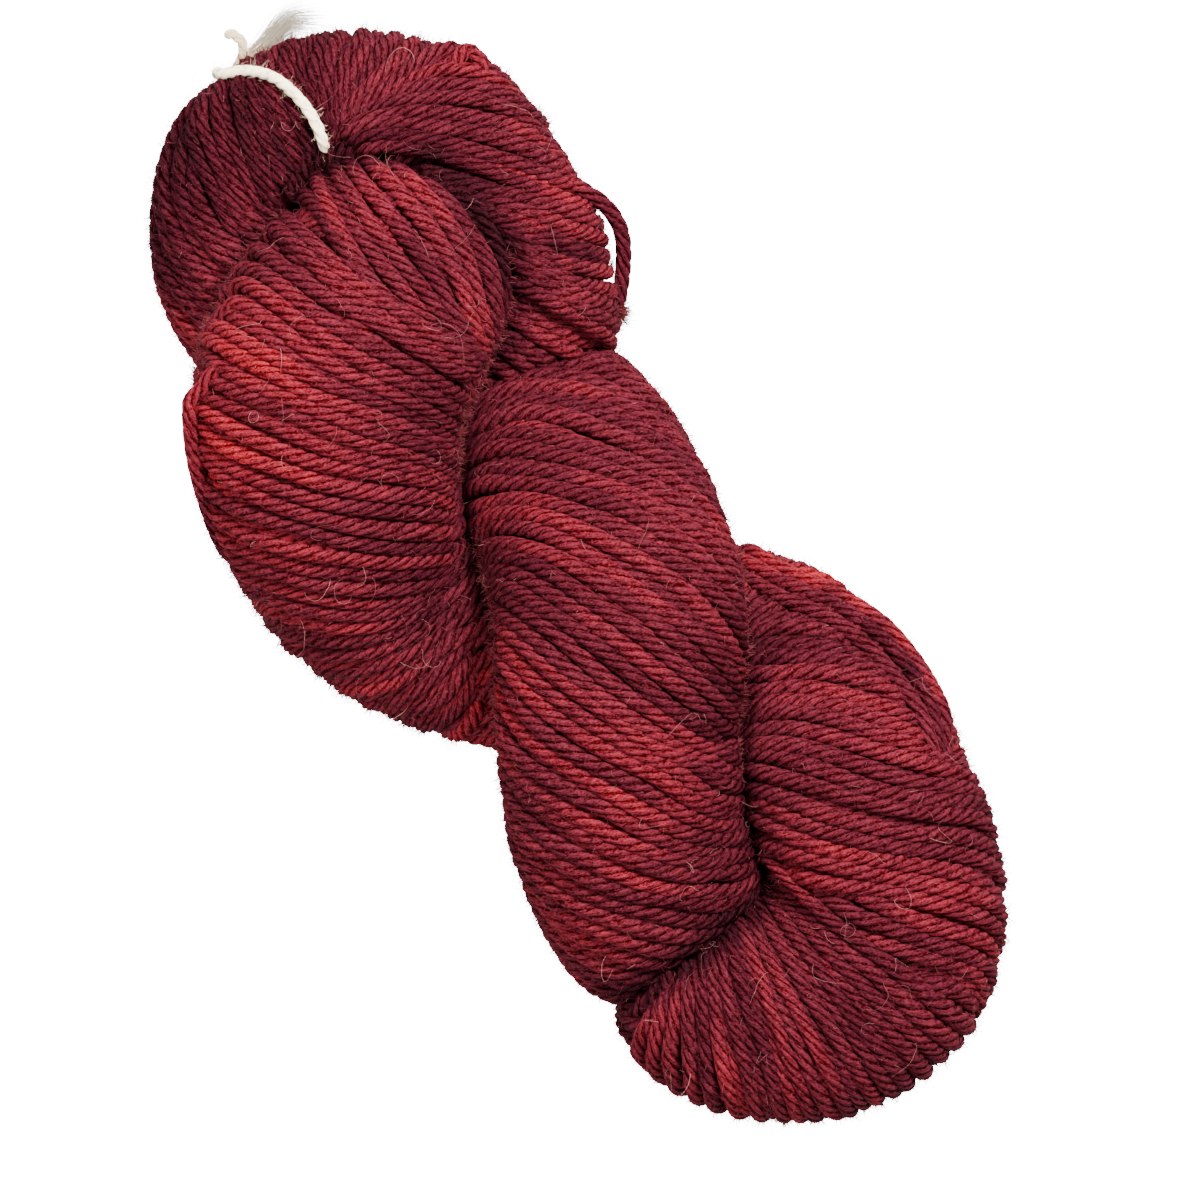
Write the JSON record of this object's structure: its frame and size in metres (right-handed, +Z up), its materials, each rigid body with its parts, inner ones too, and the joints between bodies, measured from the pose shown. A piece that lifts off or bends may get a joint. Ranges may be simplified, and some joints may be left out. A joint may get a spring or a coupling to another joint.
{
  "type": "hank of yarn",
  "caption": "Twisted hank of dyed wool yarn lying flat, its bundles plied round each other, folded back at one end and tied at the other; kept to be wound and knitted.",
  "frame": {"origin": "on the resting surface, under the middle of the bounding box", "axes": "+X along the hank from the tied end to the folded end, +Z up from the surface that it lies on"},
  "size_m": [0.24, 0.1036, 0.0723],
  "materials": {
    "dyed_wool": "matte, soft, plied yarn with a light halo",
    "undyed_wool": "matte, soft yarn"
  },
  "bodies": {
    "root": {"hank": "dyed_wool", "loose_strand": "dyed_wool", "tie": "undyed_wool"}
  },
  "joints": []
}
